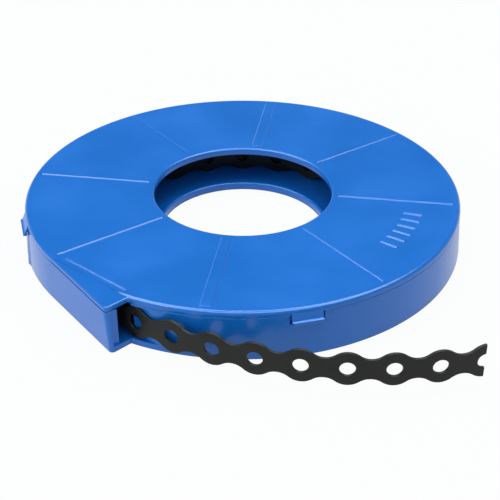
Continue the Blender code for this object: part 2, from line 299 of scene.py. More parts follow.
def turned(name: str, profile: Sequence[Station], segments: int) -> bpy.types.Object:
    """A ring turned about the Z axis from a closed section.

    Args:
        name: the object's name.
        profile: the section's (radius, height) points in order.
        segments: how many facets the ring has.

    Returns:
        The closed ring.
    """
    obj = drawn(name, profile)
    with editing(obj):
        pick_all()
        bpy.ops.mesh.spin(
            steps=segments, angle=FULL_TURN, center=(0, 0, 0), axis=(0, 0, 1), use_auto_merge=True
        )
        clean_up()
    return obj


def polar(radius: float, angle: float, centre: Station = (0.0, 0.0)) -> Station:
    """A point from its distance and direction from a centre."""
    return centre[0] + radius * math.cos(angle), centre[1] + radius * math.sin(angle)


def arc(centre: Station, radius: float, start: float, end: float, steps: int) -> list[Station]:
    """Points of an arc, both ends included.

    Args:
        centre: the arc's centre.
        radius: the arc's radius.
        start: the angle of its first point.
        end: the angle of its last point.
        steps: how many chords it has.

    Returns:
        The points in order.
    """
    angles = [start + (end - start) * step / steps for step in range(steps + 1)]
    return [polar(radius, angle, centre) for angle in angles]


def finish_shading(obj: bpy.types.Object) -> None:
    """Smooth shading with crisp edges, led by the large faces.

    Args:
        obj: the object to shade.
    """
    take(obj)
    bpy.ops.object.shade_smooth_by_angle(angle=CREASE)
    apply_modifier(obj, "WEIGHTED_NORMAL", weight=FACE_WEIGHT, keep_sharp=True)


# --- Shader graphs ---


@dataclass(frozen=True)
class Signal:
    """A number that varies over a surface; an expression on it adds Math nodes."""

    graph: "Graph"
    socket: bpy.types.NodeSocket

    def combined(self, operation: str, *terms: Any) -> "Signal":
        """The result of a Math node on these terms."""
        node = self.graph.node("ShaderNodeMath", {"operation": operation}, dict(enumerate(terms)))
        return Signal(self.graph, node.outputs[0])

    def __add__(self, other: Any) -> "Signal":
        """This plus another."""
        return self.combined("ADD", self, other)

    def __radd__(self, other: Any) -> "Signal":
        """Another plus this."""
        return self.combined("ADD", other, self)

    def __sub__(self, other: Any) -> "Signal":
        """This less another."""
        return self.combined("SUBTRACT", self, other)

    def __rsub__(self, other: Any) -> "Signal":
        """Another less this."""
        return self.combined("SUBTRACT", other, self)

    def __mul__(self, other: Any) -> "Signal":
        """This times another."""
        return self.combined("MULTIPLY", self, other)

    def __rmul__(self, other: Any) -> "Signal":
        """Another times this."""
        return self.combined("MULTIPLY", other, self)


class Graph:
    """A node tree of a material or a world, built one node at a time."""

    def __init__(self, owner: bpy.types.Material | bpy.types.World) -> None:
        """Starts an empty tree.

        Args:
            owner: the new material or world that the tree belongs to.
        """
        owner.use_nodes = True
        self.owner = owner
        self.tree = owner.node_tree
        self.tree.nodes.clear()

    @classmethod
    def of_material(cls, name: str) -> "Graph":
        """A new material's tree."""
        return cls(bpy.data.materials.new(name))

    def node(
        self,
        kind: str,
        settings: Mapping[str, Any] | None = None,
        inputs: Mapping[str | int, Any] | None = None,
    ) -> bpy.types.Node:
        """Adds one node.

        Args:
            kind: the node's type.
            settings: the node's own settings, set first.
            inputs: the values or links of its sockets.

        Returns:
            The new node.
        """
        node = self.tree.nodes.new(kind)
        for name, value in (settings or {}).items():
            setattr(node, name, value)
        for name, value in (inputs or {}).items():
            if isinstance(value, Signal):
                value = value.socket
            if isinstance(value, bpy.types.NodeSocket):
                self.tree.links.new(value, node.inputs[name])
            else:
                node.inputs[name].default_value = value
        return node

    def noise(self, scale: float, detail: float) -> Signal:
        """Smooth noise over the object, about 0.5.

        Args:
            scale: how many waves there are to a metre.
            detail: how many finer layers it has.

        Returns:
            The noise.
        """
        place = self.node("ShaderNodeTexCoord").outputs["Object"]
        made = self.node(
            "ShaderNodeTexNoise", None, {"Vector": place, "Scale": scale, "Detail": detail}
        )
        return Signal(self, made.outputs[0])

    def blend(self, share: Signal, first: Sequence[float], second: Sequence[float]) -> Any:
        """A colour between two, by a share from 0 to 1."""
        made = self.node(
            "ShaderNodeMix",
            {"data_type": "RGBA", "clamp_factor": True},
            {"Factor": share, MIX_FIRST: (*first, 1.0), MIX_SECOND: (*second, 1.0)},
        )
        return made.outputs[MIX_RESULT]

    def seen(self) -> Signal:
        """1 for a ray from the camera, in a mirror or through glass, otherwise 0."""
        path = self.node("ShaderNodeLightPath")
        straight, mirrored, through = (
            Signal(self, path.outputs[name])
            for name in ("Is Camera Ray", "Is Glossy Ray", "Is Transmission Ray")
        )
        indirect = mirrored.combined("MAXIMUM", mirrored, through)
        return straight.combined("MAXIMUM", straight, indirect)

    def ramp(self, value: Signal, low: float, high: float) -> Signal:
        """A number from 0 at low to 1 at high."""
        made = self.node("ShaderNodeMapRange", {"clamp": True}, {0: value, 1: low, 2: high})
        return Signal(self, made.outputs[0])

    def bump(self, height: Signal, depth: float) -> Any:
        """A surface normal from a height.

        Args:
            height: the height, from 0 to 1.
            depth: what a height of 1 stands for, in metres.

        Returns:
            The normal's socket.
        """
        inputs = {"Strength": 1.0, "Distance": depth, "Height": height}
        return self.node("ShaderNodeBump", None, inputs).outputs[0]

    def surface(self, inputs: Mapping[str | int, Any]) -> bpy.types.Material:
        """Ends the tree in a Principled shader.

        Args:
            inputs: the shader's values and links.

        Returns:
            The finished material.
        """
        shader = self.node("ShaderNodeBsdfPrincipled", None, inputs)
        self.node("ShaderNodeOutputMaterial", None, {0: shader.outputs[0]})
        return self.owner


@dataclass(frozen=True)
class MouldedPlastic:
    """Glossy injection-moulded plastic with faint flow marks."""

    name: str = "blue_moulding"
    colour: Colour = (0.007, 0.156, 0.590)
    pale_colour: Colour = (0.008, 0.168, 0.632)
    roughness: float = 0.17
    roughness_spread: float = 0.10
    roughness_span: Span = (0.35, 0.7)
    colour_span: Span = (0.35, 0.65)
    refraction: float = 1.49
    flow_waves: float = 38.0
    flow_detail: float = 3.0
    skin_waves: float = 900.0
    skin_detail: float = 2.0
    ripple_depth: float = 0.00022
    skin_depth: float = 0.000004

    def material(self) -> bpy.types.Material:
        """Builds the finish."""
        graph = Graph.of_material(self.name)
        flow = graph.noise(self.flow_waves, self.flow_detail)
        skin = graph.noise(self.skin_waves, self.skin_detail)
        rougher = self.roughness_spread * graph.ramp(flow, *self.roughness_span)
        paler = graph.ramp(flow, *self.colour_span)
        height = flow + skin * (self.skin_depth / self.ripple_depth)
        return graph.surface(
            {
                "Base Color": graph.blend(paler, self.colour, self.pale_colour),
                "Roughness": self.roughness + rougher,
                "IOR": self.refraction,
                "Normal": graph.bump(height, self.ripple_depth),
            }
        )


@dataclass(frozen=True)
class StrapCoating:
    """Thin black plastic coating over steel, satin and slightly uneven."""

    name: str = "black_coating"
    colour: Colour = (0.007, 0.007, 0.006)
    worn_colour: Colour = (0.015, 0.014, 0.011)
    roughness: float = 0.40
    roughness_spread: float = 0.16
    refraction: float = 1.33
    patch_waves: float = 160.0
    patch_detail: float = 4.0
    patch_span: Span = (0.35, 0.7)
    grain_waves: float = 2600.0
    grain_detail: float = 2.0
    grain_depth: float = 0.000016

    def material(self) -> bpy.types.Material:
        """Builds the finish."""
        graph = Graph.of_material(self.name)
        patches = graph.ramp(graph.noise(self.patch_waves, self.patch_detail), *self.patch_span)
        grain = graph.noise(self.grain_waves, self.grain_detail)
        return graph.surface(
            {
                "Base Color": graph.blend(patches, self.colour, self.worn_colour),
                "Roughness": self.roughness + self.roughness_spread * patches,
                "IOR": self.refraction,
                "Normal": graph.bump(grain, self.grain_depth),
            }
        )


# --- Sizes that the pieces share, as in the solids ---


@dataclass(frozen=True)
class Dispenser:
    """Sizes that tie the box's mouldings and the strap together, in metres."""

    lid_radius: float = 0.0810
    wall_thickness: float = 0.0018
    wall_flare: float = 0.0010
    floor_thickness: float = 0.0020
    lid_underside: float = 0.0155
    lid_top: float = 0.0175
    seat_gap: float = 0.0003
    seam: float = 0.00006
    nozzle_angle: float = math.radians(215.93)
    nozzle_reach: float = 0.0385
    inner_reach: float = 0.0372
    corner_rounding: float = 0.0017
    corner_facets: int = 6
    edge_facets: int = 3
    strap_width: float = 0.0122
    strap_thickness: float = 0.0010
    strap_middle: float = 0.0085
    path_radius: float = 0.0767
    curl_radius: float = 0.1270
    first_tab_angle: float = math.radians(15.0)
    tab_count: int = 4
    segments: int = 240

    @property
    def inner_radius(self) -> float:
        """Inner radius of the side wall."""
        return self.lid_radius - self.wall_thickness

    @property
    def wall_top(self) -> float:
        """Height of the side wall's upper edge."""
        return self.lid_underside - self.seam

    @property
    def centre(self) -> Vector:
        """Where the ring's axis stands, from the lid's solid."""
        low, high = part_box("lid")
        return Vector(((low.x + high.x) / 2, (low.y + high.y) / 2, 0.0))

    @property
    def curl_centre(self) -> Station:
        """Centre of the arc that the strap's free end curls along."""
        return self.by_nozzle(0.0, self.path_radius - self.curl_radius)

    @property
    def tab_angles(self) -> list[float]:
        """Where the snap tabs are round the ring."""
        return [
            self.first_tab_angle + FULL_TURN * index / self.tab_count
            for index in range(self.tab_count)
        ]

    def by_nozzle(self, along: float, out: float) -> Station:
        """A plan point from its distance along the nozzle and out from the ring's axis."""
        cosine, sine = math.cos(self.nozzle_angle), math.sin(self.nozzle_angle)
        return out * cosine - along * sine, out * sine + along * cosine

    def mouth_turn(self, radius: float) -> float:
        """Angle round a circle from the nozzle's tangent to its mouth's inner corner."""
        return math.asin(self.inner_reach / radius)

    def past_tangent(self, place: Vector) -> float:
        """How far a plan point lies round the ring from the nozzle's tangent line."""
        return (math.atan2(place.y, place.x) - self.nozzle_angle) % FULL_TURN

    def outline(self, name: str, radius: float, reach: float, height: float) -> bpy.types.Object:
        """The flat outline of the ring with its nozzle, as one face.

        Args:
            name: the object's name.
            radius: the ring's radius.
            reach: how far the nozzle reaches along its tangent.
            height: where the face lies.

        Returns:
            The outline's object.
        """
        deselect_all()
        bpy.ops.mesh.primitive_circle_add(
            vertices=self.segments,
            radius=radius,
            location=(0.0, 0.0, height),
            rotation=(0.0, 0.0, self.nozzle_angle),
        )
        obj = settle(bpy.context.active_object)
        obj.name = name
        mouth = self.mouth_turn(radius)
        step = FULL_TURN / self.segments
        first_kept = math.ceil(mouth / step) * step
        with editing(obj):
            pick(obj, lambda co: step / 2 < self.past_tangent(co) < first_kept - step / 2)
            bpy.ops.mesh.merge(type="CENTER")
            self.move_to(obj, self.by_nozzle(reach, radius))
            kept = Vector((*polar(radius, self.nozzle_angle + first_kept), height))
            pick(obj, lambda co: (co - kept).length < NEAR)
            self.move_to(obj, polar(radius, self.nozzle_angle + mouth))
            pick_all()
            bpy.ops.mesh.edge_face_add()
            corner = Vector((*self.by_nozzle(reach, radius), height))
            pick(obj, lambda co: (co - corner).length < NEAR)
            bpy.ops.mesh.bevel(
                offset=self.corner_rounding, segments=self.corner_facets, affect="VERTICES"
            )
        return obj

    @staticmethod
    def move_to(obj: bpy.types.Object, place: Station) -> None:
        """Moves the one selected vertex to a plan point.

        Args:
            obj: the object in edit mode.
            place: the plan point.
        """
        work = bmesh.from_edit_mesh(obj.data)
        co = next(vertex.co for vertex in work.verts if vertex.select)
        shift(place[0] - co.x, place[1] - co.y)

    def plate(
        self,
        name: str,
        radius: float,
        reach: float,
        foot: float,
        top: float,
        rounding: float = 0.0,
    ) -> bpy.types.Object:
        """A solid plate of the ring's outline with its nozzle.

        Args:
            name: the object's name.
            radius: the ring's radius.
            reach: how far the nozzle reaches along its tangent.
            foot: height of its underside.
            top: height of its upper side.
            rounding: radius of its edges.

        Returns:
            The plate's object.
        """
        obj = self.outline(name, radius, reach, foot)
        with editing(obj):
            pick_all()
            extrude_by(z=top - foot)
            clean_up()
            if rounding:
                round_sharp(rounding, self.edge_facets)
        return obj


@dataclass(frozen=True)
class Piece:
    """What a finished piece needs to take its place."""

    name: str
    slot: Slot
    node: str

    def hand_over(self, obj: bpy.types.Object, box: Dispenser, finish: bpy.types.Material) -> None:
        """Moves a piece from the ring's axis to its place, dresses it and lets it ride.

        Args:
            obj: the piece, modelled about the world's Z axis.
            box: the shared sizes.
            finish: its material.
        """
        obj.name = self.name
        obj.data.name = self.name
        obj.location = box.centre
        settle(obj)
        obj.data.materials.clear()
        obj.data.materials.append(finish)
        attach(obj, "root")
        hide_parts(self.node)
        LOG.info("%s: %d faces", self.name, len(obj.data.polygons))


# --- The box's lower moulding ---


@dataclass(frozen=True)
class BoxBase:
    """Floor plate, side wall with its nozzle, curb round the bore, and strap guide."""

    box: Dispenser
    edge_rounding: float = 0.00025
    curb_radius: float = 0.0310
    curb_thickness: float = 0.0018
    curb_height: float = 0.0032
    curb_rounding: float = 0.0006
    curb_facets: int = 4
    bore_cutter_depth: float = 0.0080
    guide_setback: float = 0.0004
    guide_thickness: float = 0.0027
    guide_length: float = 0.0050
    guide_rounding: float = 0.00045
    notch_width: float = 0.0118
    notch_depth: float = 0.00125
    notch_drop: float = 0.0032
    overlap: float = 0.0008
    opening_play: float = 0.0006
    flare_fade: float = math.radians(30.0)
    flare_bands: int = 10
    nozzle_flare: float = -0.0004
    relief_play: float = 0.0002
    relief_depth: float = 0.0030
    relief_reaches: Span = (0.0285, 0.0485)
    relief_steps: int = 40

    def shell(self) -> bpy.types.Object:
        """Floor and side wall in one, which widens towards the floor and is open at the mouth."""
        box = self.box
        top = box.wall_top
        shell = box.plate("shell", box.lid_radius, box.nozzle_reach, 0.0, top, self.edge_rounding)
        self.flare(shell, top / 2)
        reach = box.nozzle_reach + self.opening_play + box.corner_rounding
        room = box.plate("room", box.inner_radius, reach, box.floor_thickness, top + self.overlap)
        combine(shell, room, "DIFFERENCE")
        deselect_all()
        bpy.ops.mesh.primitive_cylinder_add(
            vertices=box.segments,
            radius=self.curb_radius + self.curb_thickness / 2,
            depth=self.bore_cutter_depth,
            location=(0.0, 0.0, 0.0),
        )
        combine(shell, bpy.context.active_object, "DIFFERENCE")
        return shell

    def flare(self, shell: bpy.types.Object, below: float) -> None:
        """Widens the shell's lower edge about the ring's axis, less and less towards the nozzle.

        Args:
            shell: the shell.
            below: the height under which its points move.
        """
        box = self.box
        share = box.wall_flare / box.lid_radius
        mouth = box.mouth_turn(box.lid_radius) - NEAR
        step = self.flare_fade / self.flare_bands
        bands = [(mouth, FULL_TURN - self.flare_fade, 1.0)]
        for band in range(self.flare_bands):
            start = FULL_TURN - self.flare_fade + band * step
            bands.append((start, start + step, 1.0 - (band + 0.5) / self.flare_bands))
        with editing(shell):
            for start, end, weight in bands:
                pick(shell, lambda co: co.z < below and start <= box.past_tangent(co) < end)
                stretch(1.0 + share * weight, 1.0 + share * weight, 1.0)
            pick(shell, lambda co: co.z < below and NEAR <= box.past_tangent(co) < mouth)
            shift(*box.by_nozzle(box.wall_flare, self.nozzle_flare))

    def curb(self) -> bpy.types.Object:
        """The low curb round the floor's bore, rounded on top."""
        outer = self.curb_radius + self.curb_thickness
        rounding, foot = self.curb_rounding, self.box.seat_gap
        height = self.curb_height - rounding
        inner = self.curb_radius
        crown = arc((outer - rounding, height), rounding, QUARTER_TURN, 0.0, self.curb_facets)
        brow = arc((inner + rounding, height), rounding, math.pi, QUARTER_TURN, self.curb_facets)
        profile = [*crown, (outer, foot), (inner, foot), *brow]
        return turned("curb", profile, self.box.segments)

    def guide(self) -> bpy.types.Object:
        """The upright rib that guides the strap at the mouth."""
        box = self.box
        foot = box.floor_thickness - self.overlap
        top = box.wall_top - self.edge_rounding
        thickness = self.guide_thickness + self.overlap
        out = box.inner_radius - self.guide_thickness + thickness / 2
        along = box.nozzle_reach - self.guide_setback - self.guide_length / 2
        place = (*box.by_nozzle(along, out), (foot + top) / 2)
        guide = block(place, (thickness, self.guide_length, top - foot), box.nozzle_angle)
        with editing(guide):
            round_sharp(self.guide_rounding, box.edge_facets)
        return guide

    def relief(self) -> bpy.types.Object:
        """What thins the ring wall's end, so that the strap lies along it."""
        box = self.box
        inner = -box.strap_thickness / 2 - self.relief_play
        width = self.relief_depth - inner
        radius = box.curl_radius + inner + width / 2
        start, end = (box.nozzle_angle + reach / box.curl_radius for reach in self.relief_reaches)
        centre = box.curl_centre
        place = (*polar(radius, start, centre), box.strap_middle)
        deselect_all()
        bpy.ops.mesh.primitive_plane_add(
            size=1.0, location=place, rotation=(QUARTER_TURN, 0.0, start)
        )
        relief = bpy.context.active_object
        relief.scale = (width, box.strap_width + 2 * self.relief_play, 1.0)
        settle(relief)
        with editing(relief):
            pick_all()
            bpy.ops.mesh.spin(
                steps=self.relief_steps, angle=start - end, center=(*centre, 0.0), axis=(0, 0, 1)
            )
            clean_up()
        return relief

    def notches(self) -> list[bpy.types.Object]:
        """What cuts the side wall's notches for the lid's tabs."""
        box = self.box
        size = (2 * self.notch_depth, self.notch_width, 2 * self.notch_drop)
        return repeated(block((box.lid_radius, 0.0, box.wall_top), size), box.tab_angles)

    def build(self, finish: bpy.types.Material) -> None:
        """Builds and dresses the whole moulding.

        Args:
            finish: its material.
        """
        base = self.shell()
        for part in (self.curb(), self.guide()):
            combine(base, part, "UNION")
        for part in (self.relief(), *self.notches()):
            combine(base, part, "DIFFERENCE")
        finish_shading(base)
        Piece("box_base", Slot.MOULDING, "bottom_shell").hand_over(base, self.box, finish)


# --- The box's lid ---


@dataclass(frozen=True)
class BoxLid:
    """Round lid with its bead, bore lip, nozzle cover, raised ribs, ticks and snap tabs."""

    box: Dispenser
    edge_rounding: float = 0.0009
    rim_rounding: float = 0.0013
    rim_facets: int = 9
    rim_rise: float = 0.00025
    rim_width: float = 0.0030
    bore_radius: float = 0.0334
    bore_facets: int = 5
    lip_thickness: float = 0.0016
    lip_depth: float = 0.0029
    lip_facets: int = 8
    cover_step: float = 0.000004
    cover_inset: float = 0.0048
    cover_rounding: float = 0.0006
    cover_facets: int = 4
    seam_rounding: float = 0.0001
    rib_count: int = 8
    rib_first_angle: float = math.radians(36.5)
    rib_width: float = 0.0012
    rib_spread: float = 2.0
    rib_height: float = 0.00035
    rib_crown: float = 0.98
    rib_facets: int = 4
    wide_rib_width: float = 0.0042
    wide_ribs: tuple[int, ...] = (1, 5)
    rib_end_margin: float = 0.0026
    tick_count: int = 6
    tick_length: float = 0.0070
    tick_width: float = 0.0015
    tick_radius: float = 0.0645
    tick_pitch: float = math.radians(4.2)
    first_tick_angle: float = math.radians(322.0)
    chord_rib_inset: float = 0.0026
    chord_rib_shift: float = 0.0013
    chord_rib_end_margin: float = 0.0045
    tab_width: float = 0.0106
    tab_thickness: float = 0.0012
    tab_slope: float = 0.0020
    tab_drop: float = 0.0034
    tab_lip: float = 0.0014
    tab_hollow: float = 0.0003
    tab_ledge: float = 0.0005
    tab_rounding: float = 0.00025
    tab_facets: int = 2
    tab_crease: float = math.radians(25.0)
    overlap: float = 0.0008

    def disc(self) -> bpy.types.Object:
        """The turned disc with its bead and lip, cut straight along the nozzle's chord."""
        box, edge = self.box, self.edge_rounding
        top, under = box.lid_top, box.lid_underside
        round_by = self.rim_rounding
        crown = (box.lid_radius - round_by, top + self.rim_rise - round_by)
        rim = arc(crown, round_by, QUARTER_TURN, 0.0, self.rim_facets)
        half = self.lip_thickness / 2
        lip_end = top - self.lip_depth
        bore = self.bore_radius
        tip = arc((bore + half, lip_end + half), half, 0.0, -math.pi, self.lip_facets)
        brow = arc((bore + edge, top - edge), edge, math.pi, QUARTER_TURN, self.bore_facets)
        profile = [
            (box.lid_radius - self.rim_width, top),
            *rim,
            (box.lid_radius, under + self.seam_rounding),
            (box.lid_radius - self.seam_rounding, under),
            (bore + self.lip_thickness, under),
            *tip,
            *brow,
        ]
        disc = turned("disc", profile, box.segments)
        with editing(disc):
            self.cut_along_chord(0.0, clear_outer=True)
        return disc

    @property
    def mouth_turn(self) -> float:
        """Angle round the lid from the nozzle's tangent to its mouth."""
        return self.box.mouth_turn(self.box.lid_radius)

    def cut_along_chord(self, inset: float, **side: bool) -> None:
        """Cuts what is in edit mode straight along the nozzle's chord, or inside it.

        Args:
            inset: how far inside the chord the cut runs.
            side: what is cleared, as clear_inner or clear_outer.
        """
        middle = self.box.nozzle_angle + self.mouth_turn / 2
        out = self.box.lid_radius * math.cos(self.mouth_turn / 2) - inset
        pick_all()
        bpy.ops.mesh.bisect(
            plane_co=(*polar(out, middle), 0.0),
            plane_no=(*polar(1.0, middle), 0.0),
            use_fill=True,
            threshold=MERGE,
            **side,
        )
        clean_up()

    def cover(self) -> bpy.types.Object:
        """The flat cover over the nozzle."""
        box = self.box
        foot = box.lid_underside + self.cover_step
        top = box.lid_top - self.cover_step
        cover = box.plate("cover", box.lid_radius, box.nozzle_reach, foot, top)
        with editing(cover):
            self.cut_along_chord(self.cover_inset, clear_inner=True)
            round_sharp(self.cover_rounding, self.cover_facets)
        return cover

    def rib(self, name: str, length: float, width: float, middle: Place) -> bpy.types.Object:
        """One raised line with a low rounded crown.

        Args:
            name: the object's name.
            length: its length along X.
            width: its width along Y.
            middle: where its middle is.

        Returns:
            The rib's object.
        """
        height = 2 * (self.rib_height + self.overlap / 2)
        rib = block((middle[0], 0.0, middle[2]), (length, width / self.rib_spread, height))
        rib.name = name
        top = middle[2] + height / 2
        with editing(rib):
            pick_edges(rib, lambda a, b: min(a.z, b.z) > top - NEAR)
            crown = self.rib_height * self.rib_crown
            bpy.ops.mesh.bevel(offset=crown, segments=self.rib_facets, affect="EDGES")
            pick_all()
            stretch(1.0, self.rib_spread, 1.0)
            shift(y=middle[1])
        return rib

    def ribs(self) -> list[bpy.types.Object]:
        """The radial ribs, two of them broad, the one along the nozzle's chord, and plain ticks."""
        box = self.box
        inner = self.bore_radius + self.rib_end_margin
        outer = box.lid_radius - self.rib_end_margin
        height = box.lid_top - self.overlap / 2
        middle = ((inner + outer) / 2, 0.0, height)
        thin = self.rib("rib", outer - inner, self.rib_width, middle)
        wide = self.rib("wide_rib", outer - inner, self.wide_rib_width, middle)
        made = []
        for index in range(self.rib_count):
            angle = self.rib_first_angle + FULL_TURN * index / self.rib_count
            made.append(copy_turned(wide if index in self.wide_ribs else thin, angle))
        for pattern in (thin, wide):
            bpy.data.objects.remove(pattern, do_unlink=True)
        half_turn = self.mouth_turn / 2
        out = box.lid_radius * math.cos(half_turn) - self.chord_rib_inset
        length = 2 * (box.lid_radius * math.sin(half_turn) - self.chord_rib_end_margin)
        place = (self.chord_rib_shift, -out, height)
        chord = self.rib("chord_rib", length, self.rib_width, place)
        chord.rotation_euler.z = box.nozzle_angle + half_turn + QUARTER_TURN
        made.append(settle(chord))
        place = (self.tick_radius, 0.0, height)
        tick = self.rib("tick", self.tick_length, self.tick_width, place)
        angles = [self.first_tick_angle + self.tick_pitch * i for i in range(self.tick_count)]
        return made + repeated(tick, angles)

    def tabs(self) -> list[bpy.types.Object]:
        """The snap tabs that slope out over the side wall and hook down outside it."""
        box = self.box
        root = box.lid_radius - self.tab_slope
        shoulder = box.lid_radius - self.edge_rounding / 2
        tip = shoulder + self.tab_slope
        top = box.lid_top - box.seat_gap
        low = top - self.tab_drop
        thick, ledge = self.tab_thickness, self.tab_ledge
        profile = [
            (root, top),
            (shoulder, top),
            (tip - ledge, low),
            (tip + ledge / 2, low - ledge / 3),
            (tip + ledge / 2, low - self.tab_lip),
            (tip - thick, low - self.tab_lip),
            (tip - thick, low + self.tab_hollow),
            (shoulder - thick, top - thick),
            (root, top - thick),
        ]
        tab = drawn("tab", profile)
        with editing(tab):
            pick_all()
            bpy.ops.mesh.edge_face_add()
            shift(y=-self.tab_width / 2)
            extrude_by(y=self.tab_width)
            clean_up()
            round_sharp(self.tab_rounding, self.tab_facets, self.tab_crease)
        return repeated(tab, box.tab_angles)

    def build(self, finish: bpy.types.Material) -> None:
        """Builds and dresses the whole lid.

        Args:
            finish: its material.
        """
        lid = self.disc()
        for part in (self.cover(), *self.ribs(), *self.tabs()):
            combine(lid, part, "UNION")
        finish_shading(lid)
        Piece("box_lid", Slot.MOULDING, "lid").hand_over(lid, self.box, finish)


# --- The strap ---


@dataclass(frozen=True)
class Strap:
    """One length of wavy holed strap, wound up in the box, with its free end outside."""

    box: Dispenser
    neck_width: float = 0.0072
    hole_diameter: float = 0.0051
    pitch: float = 0.0144
    inner_path_radius: float = 0.0447
    turn_spacing: float = 0.00128
    first_hole_reach: float = 0.0396
    holes_outside: int = 8
    free_cells: int = 10
    winding_play: float = 0.00006
    turn_points: int = 144
    coil_quarter: int = 5
    free_quarter: int = 10
    edge_rounding: float = 0.00018
    edge_facets: int = 2
    crease: float = math.radians(50.0)
    curl_step: float = 0.0010

    def cell(self, name: str, steps: int) -> bpy.types.Object:
        """One flat cell of the strap in the plane Y = 0: a round hole in a lobe between two necks.

        Args:
            name: the object's name.
            steps: how many chords a quarter of the hole has.

        Returns:
            The cell's object, with its middle at the origin.
        """
        lobe, neck, half = self.box.strap_width / 2, self.neck_width / 2, self.pitch / 2
        hollow = (half**2 + neck**2 - lobe**2) / (2 * (lobe - neck))
        meet = math.atan2(neck + hollow, half)
        on_lobe = math.ceil((steps - 1) / 2)
        on_neck = steps - 1 - on_lobe
        outline = [
            (half, 0.0),
            *arc((half, neck + hollow), hollow, -QUARTER_TURN, meet - math.pi, on_neck),
            *arc((0.0, 0.0), lobe, meet, QUARTER_TURN, on_lobe)[1:],
        ]
        deselect_all()
        bpy.ops.mesh.primitive_circle_add(
            vertices=4 * steps, radius=self.hole_diameter / 2, rotation=(QUARTER_TURN, 0.0, 0.0)
        )
        cell = settle(bpy.context.active_object)
        cell.name = name
        with editing(cell):
            pick_all()
            bpy.ops.mesh.extrude_edges_move()
            grow = 2 * lobe / self.hole_diameter
            stretch(grow, 1.0, grow)
            for index, (x, z) in enumerate(outline):
                old_x, old_z = polar(lobe, QUARTER_TURN * index / steps)
                pick(cell, lambda co: math.hypot(abs(co.x) - old_x, abs(co.z) - old_z) < NEAR)
                longer = x / old_x if old_x > NEAR else 1.0
                wider = z / old_z if old_z > NEAR else 1.0
                stretch(longer, 1.0, wider)
        return cell

    def path(self) -> tuple[bpy.types.Object, float]:
        """The line that the strap follows: a flat spiral, then the free end's wider curl.

        Returns:
            The path's curve object, and how far along it the free end's tangent point is.
        """
        box = self.box
        step = FULL_TURN / self.turn_points
        turns = (box.path_radius - self.inner_path_radius) / self.turn_spacing
        count = round(turns * self.turn_points)
        points = []
        for left in range(count, -1, -1):
            radius = box.path_radius - self.turn_spacing * left / self.turn_points
            points.append(Vector((*polar(radius, box.nozzle_angle - step * left), 0.0)))
        wound = sum((b - a).length for a, b in zip(points, points[1:]))
        reach = self.first_hole_reach + (self.holes_outside + 1) * self.pitch
        end = box.nozzle_angle + reach / box.curl_radius
        steps = math.ceil(reach / self.curl_step)
        curl = arc(box.curl_centre, box.curl_radius, box.nozzle_angle, end, steps)
        points += [Vector((*place, 0.0)) for place in curl[1:]]
        curve = bpy.data.curves.new("strap_path", "CURVE")
        curve.dimensions = "3D"
        curve.twist_mode = "Z_UP"
        spline = curve.splines.new("POLY")
        spline.points.add(len(points) - 1)
        for point, place in zip(spline.points, points):
            point.co = (*place, 1.0)
        path = bpy.data.objects.new("strap_path", curve)
        bpy.context.scene.collection.objects.link(path)
        return path, wound

    def laid(
        self,
        cell: bpy.types.Object,
        count: int,
        start: float,
        end: float,
        path: bpy.types.Object,
        thickness: float,
    ) -> bpy.types.Object:
        """A run of cells laid along the path and given its thickness.

        Args:
            cell: the flat cell.
            count: how many cells there are.
            start: how far along the path the first cell's middle is.
            end: where the run is cut straight across.
            path: the curve to follow.
            thickness: the strap's thickness.

        Returns:
            The run's object, at the strap's height.
        """
        apply_modifier(
            cell,
            "ARRAY",
            count=count,
            use_relative_offset=False,
            use_constant_offset=True,
            constant_offset_displace=(self.pitch, 0.0, 0.0),
            use_merge_vertices=True,
            merge_threshold=NEAR,
        )
        with editing(cell):
            pick_all()
            shift(x=start)
            bpy.ops.mesh.bisect(
                plane_co=(end, 0.0, 0.0),
                plane_no=(1.0, 0.0, 0.0),
                clear_outer=True,
                threshold=MERGE,
            )
            pick_all()
            bpy.ops.mesh.normals_make_consistent(inside=False)
        apply_modifier(cell, "CURVE", object=path, deform_axis="POS_X")
        apply_modifier(cell, "SOLIDIFY", thickness=thickness, offset=0.0, use_even_offset=False)
        with editing(cell):
            clean_up()
            pick_all()
            shift(z=self.box.strap_middle)
        return cell

    def build(self, finish: bpy.types.Material) -> None:
        """Builds and dresses the strap.

        Args:
            finish: its material.
        """
        path, wound = self.path()
        tip = wound + self.first_hole_reach + self.holes_outside * self.pitch
        first_free = tip - self.free_cells * self.pitch
        cell = self.cell("free_cell", self.free_quarter)
        count = self.free_cells + 1
        free = self.laid(cell, count, first_free, tip, path, self.box.strap_thickness)
        with editing(free):
            round_sharp(self.edge_rounding, self.edge_facets, self.crease)
        finish_shading(free)
        cells = int((first_free - self.pitch / 2) / self.pitch)
        coil_end = first_free - self.pitch / 2 - self.winding_play
        first_wound = first_free - self.pitch * cells
        thinner = self.box.strap_thickness - self.winding_play
        cell = self.cell("coil_cell", self.coil_quarter)
        coil = self.laid(cell, cells, first_wound, coil_end, path, thinner)
        finish_shading(coil)
        bpy.data.objects.remove(path, do_unlink=True)
        for name, obj in (("strap_free_end", free), ("strap_coil", coil)):
            Piece(name, Slot.COATING, "perforated_strap").hand_over(obj, self.box, finish)


# --- Studio ---


